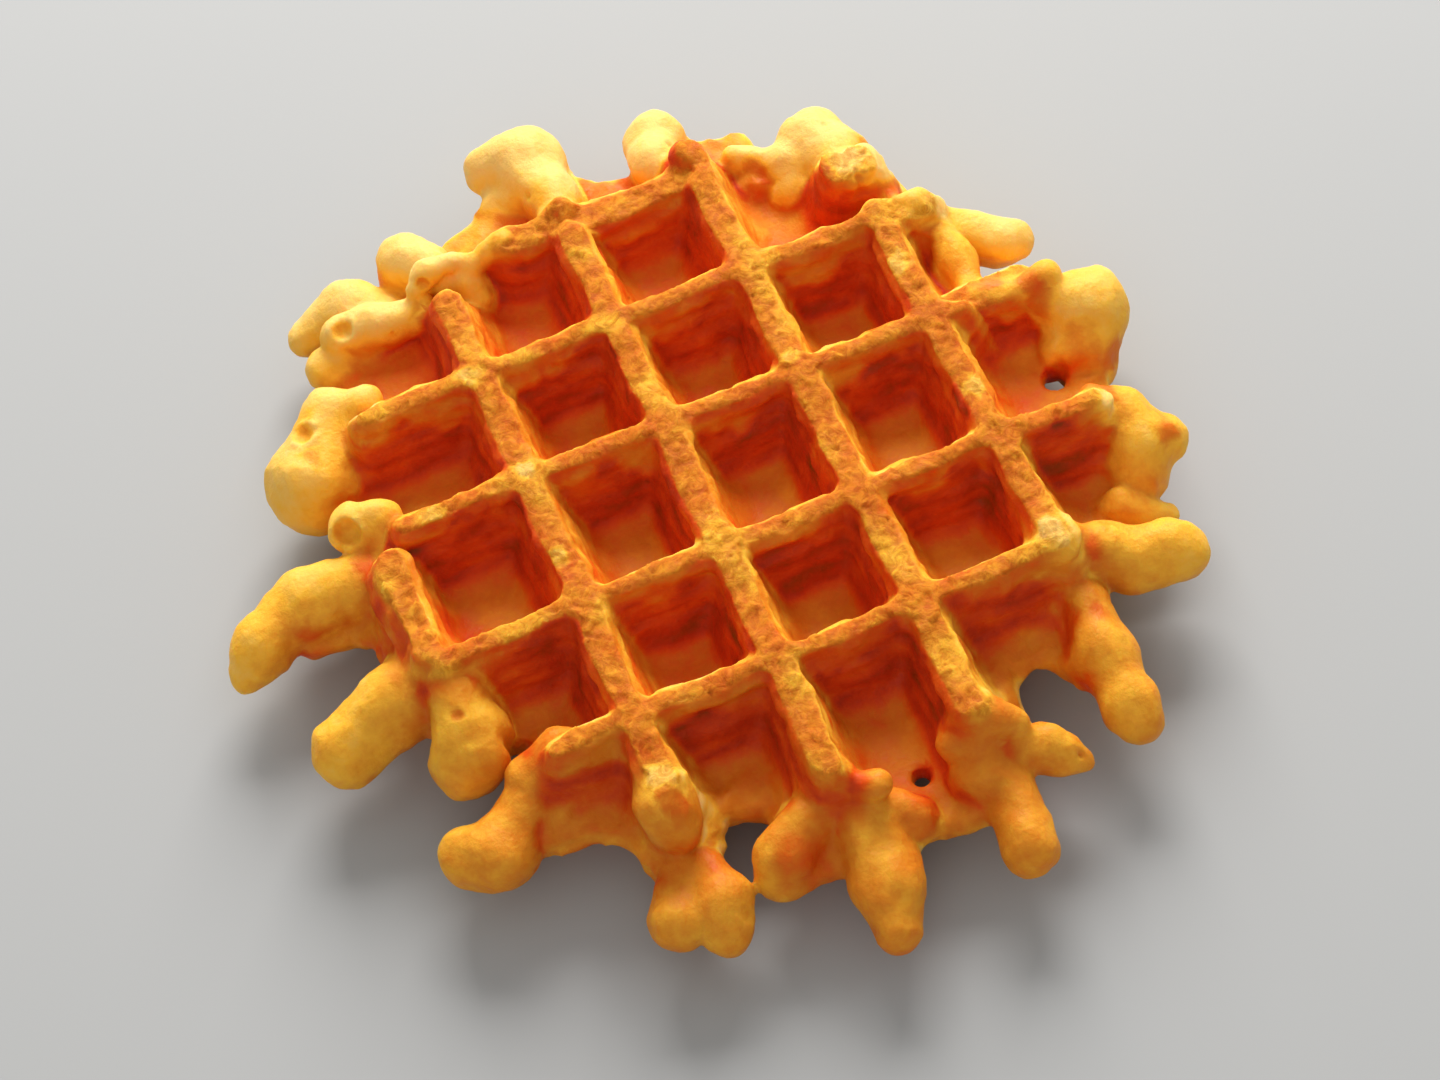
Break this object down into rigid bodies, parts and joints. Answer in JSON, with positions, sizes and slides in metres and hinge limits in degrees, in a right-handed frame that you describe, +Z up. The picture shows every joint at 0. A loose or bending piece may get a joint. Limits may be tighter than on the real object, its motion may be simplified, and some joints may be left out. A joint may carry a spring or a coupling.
{
  "type": "waffle",
  "caption": "Round baked waffle with deep square pockets on both sides and rounded drips of batter all round its rim.",
  "frame": {"origin": "middle of the underside's bounding box, on the surface that the waffle lies on", "axes": "+Z up through the thickness, the shortest way; +X to the viewer's right along the ridges that run across, -Y towards the viewer"},
  "size_m": [0.1154, 0.1232, 0.0186],
  "materials": {
    "baked_crust": "matte"
  },
  "bodies": {
    "root": {"waffle": "baked_crust"}
  },
  "joints": []
}
